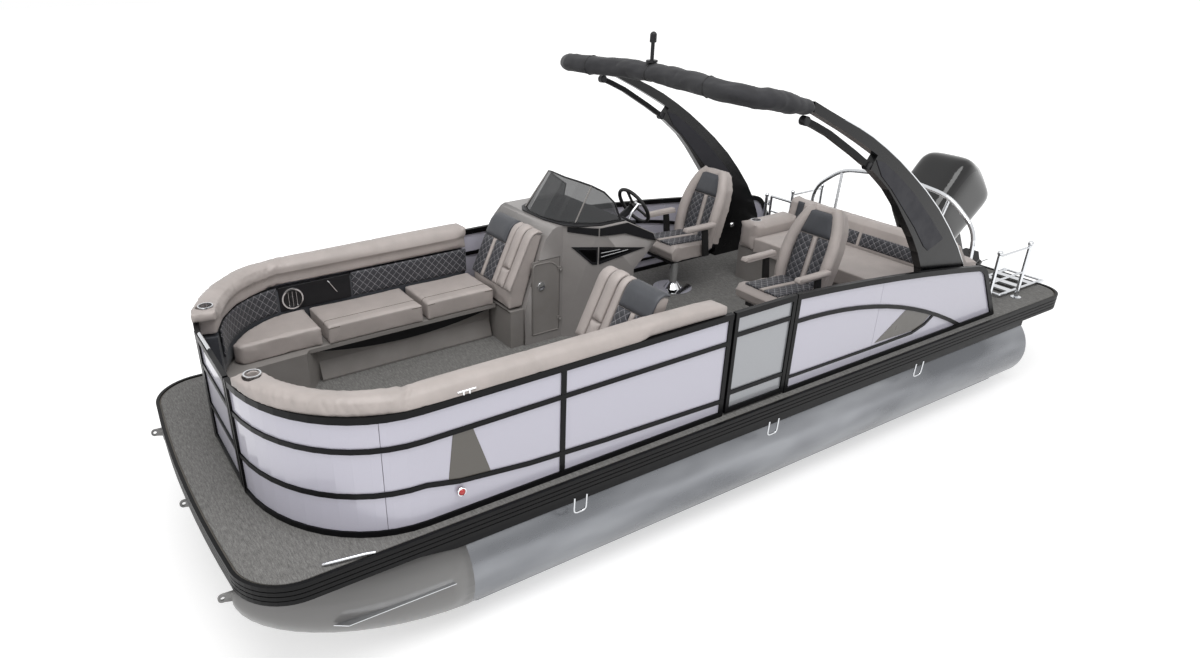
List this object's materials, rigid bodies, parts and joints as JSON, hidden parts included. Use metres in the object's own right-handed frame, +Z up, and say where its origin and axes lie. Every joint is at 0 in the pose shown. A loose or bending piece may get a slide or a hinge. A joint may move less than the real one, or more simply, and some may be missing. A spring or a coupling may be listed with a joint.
{
  "type": "pontoon boat",
  "caption": "Tritoon pleasure boat with a fenced deck, lounges, helm, arch with stowed canvas and a tilted outboard motor.",
  "frame": {"origin": "underside of the centre keel, amidships and on the centreline", "axes": "+X to the bow, +Y to port, +Z up"},
  "size_m": [8.3326, 2.6094, 3.1483],
  "materials": {
    "tube_aluminium": "bare rolled aluminium, blotchy soft reflections",
    "nose_paint": "satin taupe-grey paint",
    "bright_aluminium": "polished",
    "mill_aluminium": "mill finish",
    "black_paint": "satin black powder coat",
    "deck_board": "sealed marine plywood",
    "woven_floor": "woven vinyl, grey",
    "black_rubber": "ribbed, matte",
    "black_rail": "satin black anodised rail",
    "panel_white": "pearl white with a faint lilac cast",
    "panel_silver": "silver-grey metallic",
    "accent_taupe": "satin taupe",
    "stainless": "polished stainless",
    "chrome": "mirror",
    "moulding_taupe": "rotationally moulded",
    "console_taupe": "gel-coated moulding",
    "vinyl_taupe": "soft marine vinyl",
    "vinyl_charcoal": "quilted marine vinyl with pale stitching",
    "tinted_glass": "smoked acrylic",
    "wheel_black": "soft-grip black",
    "arch_black": "gloss black powder coat",
    "arch_grey": "matte dark grey",
    "canvas_charcoal": "woven marine canvas",
    "mast_black": "black",
    "motor_black": "satin black",
    "cowl_black": "gloss black",
    "propeller_black": "satin black"
  },
  "bodies": {
    "hull": {"port_pontoon": "tube_aluminium", "centre_pontoon": "tube_aluminium", "starboard_pontoon": "tube_aluminium", "nose_cones": "nose_paint", "splash_fins": "bright_aluminium", "tube_risers": "mill_aluminium", "cross_members": "mill_aluminium", "side_skirts": "black_paint", "motor_pod": "tube_aluminium", "deck": "deck_board", "vinyl_floor": "woven_floor", "rub_rail": "black_rubber", "port_fence": "black_rail", "port_panels": "panel_white", "starboard_fence": "black_rail", "starboard_panels": "panel_white", "side_accents": "accent_taupe", "port_lounge_base": "moulding_taupe", "starboard_lounge_base": "moulding_taupe", "port_lounge_back": "vinyl_taupe", "starboard_lounge_back": "vinyl_taupe", "corner_cushions": "vinyl_taupe", "port_chaise_back": "vinyl_charcoal", "starboard_chaise_back": "vinyl_charcoal", "helm_console": "console_taupe", "windscreen": "tinted_glass", "chair_pedestals": "chrome", "stern_lounge_base": "moulding_taupe", "stern_lounge_cushion": "vinyl_taupe", "stern_lounge_back": "vinyl_taupe", "sun_pad": "vinyl_taupe", "cup_holders": "stainless", "arch_frame": "arch_black", "arch_panels": "arch_grey", "bimini_bows": "black_paint", "bimini_boot": "canvas_charcoal", "mast_light": "mast_black", "stern_rails": "stainless", "motor_bracket": "motor_black"},
    "bow_gate": {"bow_gate": "black_rail", "gate_panels_bow": "panel_white"},
    "side_gate": {"side_gate": "black_rail", "gate_panels_side": "panel_silver"},
    "stern_gate": {"stern_gate": "stainless"},
    "port_lid_fore": {"port_seat_fore": "vinyl_taupe"},
    "port_lid_aft": {"port_seat_aft": "vinyl_taupe"},
    "starboard_lid_fore": {"starboard_seat_fore": "vinyl_taupe"},
    "starboard_lid_aft": {"starboard_seat_aft": "vinyl_taupe"},
    "cabinet_door": {"cabinet_door": "moulding_taupe"},
    "helm_chair": {"helm_seat": "vinyl_charcoal", "helm_back": "vinyl_charcoal"},
    "companion_chair": {"companion_seat": "vinyl_charcoal", "companion_back": "vinyl_charcoal"},
    "steering_wheel": {"steering_wheel": "wheel_black"},
    "tilt_frame": {"motor_swivel": "motor_black"},
    "motor": {"motor_cowl": "cowl_black", "motor_leg": "motor_black"},
    "propeller": {"propeller": "propeller_black"},
    "boarding_ladder": {"boarding_ladder": "stainless"}
  },
  "joints": [
    {"name": "bow_gate_hinge", "type": "hinge", "parent": "hull", "child": "bow_gate", "pos_m": [3.363, 0.33, 1.2], "axis": [0, 0, -1], "range_deg": [0, 90]},
    {"name": "side_gate_hinge", "type": "hinge", "parent": "hull", "child": "side_gate", "pos_m": [0.4175, 1.178, 1.2], "axis": [0, 0, 1], "range_deg": [0, 90]},
    {"name": "stern_gate_hinge", "type": "hinge", "parent": "hull", "child": "stern_gate", "pos_m": [-2.4, -1.095, 1.1], "axis": [0, 0, -1], "range_deg": [0, 65]},
    {"name": "port_lid_fore_hinge", "type": "hinge", "parent": "hull", "child": "port_lid_fore", "pos_m": [2.11, 1.054, 1.279], "axis": [-1, 0, 0], "range_deg": [0, 75]},
    {"name": "port_lid_aft_hinge", "type": "hinge", "parent": "hull", "child": "port_lid_aft", "pos_m": [1.415, 1.054, 1.279], "axis": [-1, 0, 0], "range_deg": [0, 75]},
    {"name": "starboard_lid_fore_hinge", "type": "hinge", "parent": "hull", "child": "starboard_lid_fore", "pos_m": [2.11, -1.054, 1.279], "axis": [1, 0, 0], "range_deg": [0, 75]},
    {"name": "starboard_lid_aft_hinge", "type": "hinge", "parent": "hull", "child": "starboard_lid_aft", "pos_m": [1.415, -1.054, 1.279], "axis": [1, 0, 0], "range_deg": [0, 75]},
    {"name": "cabinet_door_hinge", "type": "hinge", "parent": "hull", "child": "cabinet_door", "pos_m": [0.6557, -0.391, 1.2], "axis": [0, 0, 1], "range_deg": [0, 100]},
    {"name": "helm_chair_swivel", "type": "hinge", "parent": "hull", "child": "helm_chair", "pos_m": [-0.8, -0.69, 1.12], "axis": [0, 0, 1], "continuous": true},
    {"name": "companion_chair_swivel", "type": "hinge", "parent": "hull", "child": "companion_chair", "pos_m": [-0.7, 0.61, 1.12], "axis": [0, 0, 1], "continuous": true},
    {"name": "steering_wheel_turn", "type": "hinge", "parent": "hull", "child": "steering_wheel", "pos_m": [-0.23, -0.62, 1.719], "axis": [0.866, 0, -0.5], "range_deg": [-540, 540]},
    {"name": "motor_tilt", "type": "hinge", "parent": "hull", "child": "tilt_frame", "pos_m": [-3.445, 0, 0.852], "axis": [0, 1, 0], "range_deg": [-38, 30]},
    {"name": "motor_steer", "type": "hinge", "parent": "tilt_frame", "child": "motor", "pos_m": [-3.5632, 0, 0.94435], "axis": [0.6157, 0, 0.788], "range_deg": [-30, 30]},
    {"name": "propeller_spin", "type": "hinge", "parent": "motor", "child": "propeller", "pos_m": [-4.52212, 0, 0.56157], "axis": [0.788, 0, -0.6157], "continuous": true},
    {"name": "boarding_ladder_flip", "type": "hinge", "parent": "hull", "child": "boarding_ladder", "pos_m": [-3.722, 0.87, 0.855], "axis": [0, -1, 0], "range_deg": [0, 262]}
  ],
  "couplings": [
    {"joint": "steering_wheel_turn", "follows": "motor_steer", "ratio": -18}
  ]
}
